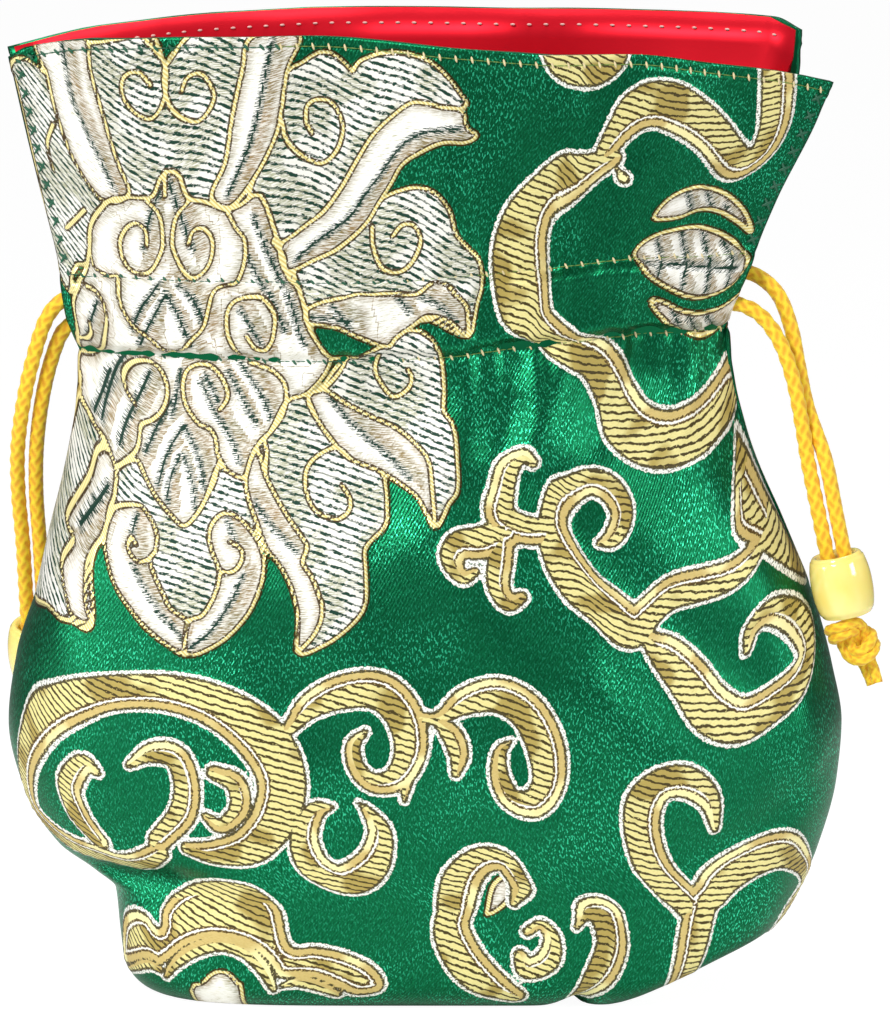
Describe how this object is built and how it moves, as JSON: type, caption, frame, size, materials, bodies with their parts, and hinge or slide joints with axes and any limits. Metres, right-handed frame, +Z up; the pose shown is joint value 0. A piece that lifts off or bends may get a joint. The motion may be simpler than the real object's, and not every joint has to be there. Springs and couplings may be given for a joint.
{
  "type": "drawstring pouch",
  "caption": "Small brocade drawstring pouch, lined in red, standing open, with a cord, bead and knot at each side.",
  "frame": {"origin": "middle of the base, on the surface it stands on", "axes": "+Z up, -Y towards the front of the pouch, +X to the viewer's right"},
  "size_m": [0.1241, 0.045, 0.1374],
  "materials": {
    "green_brocade": "satin",
    "red_lining": "satin",
    "yellow_cord": "matte",
    "cream_bead": "gloss"
  },
  "bodies": {
    "pouch": {"front_panel": "green_brocade", "back_panel": "green_brocade", "lining_front": "red_lining", "lining_back": "red_lining", "drawstring_right": "yellow_cord", "drawstring_left": "yellow_cord", "knot_right": "yellow_cord", "knot_left": "yellow_cord"},
    "bead_right": {"bead_right": "cream_bead"},
    "bead_left": {"bead_left": "cream_bead"}
  },
  "joints": [
    {"name": "bead_right_slide", "type": "slide", "parent": "pouch", "child": "bead_right", "axis": [-0.208, 0, 0.9781], "range_m": [0, 0.012]},
    {"name": "bead_left_slide", "type": "slide", "parent": "pouch", "child": "bead_left", "axis": [-0.02, -0.2799, 0.9598], "range_m": [0, 0.012]}
  ]
}
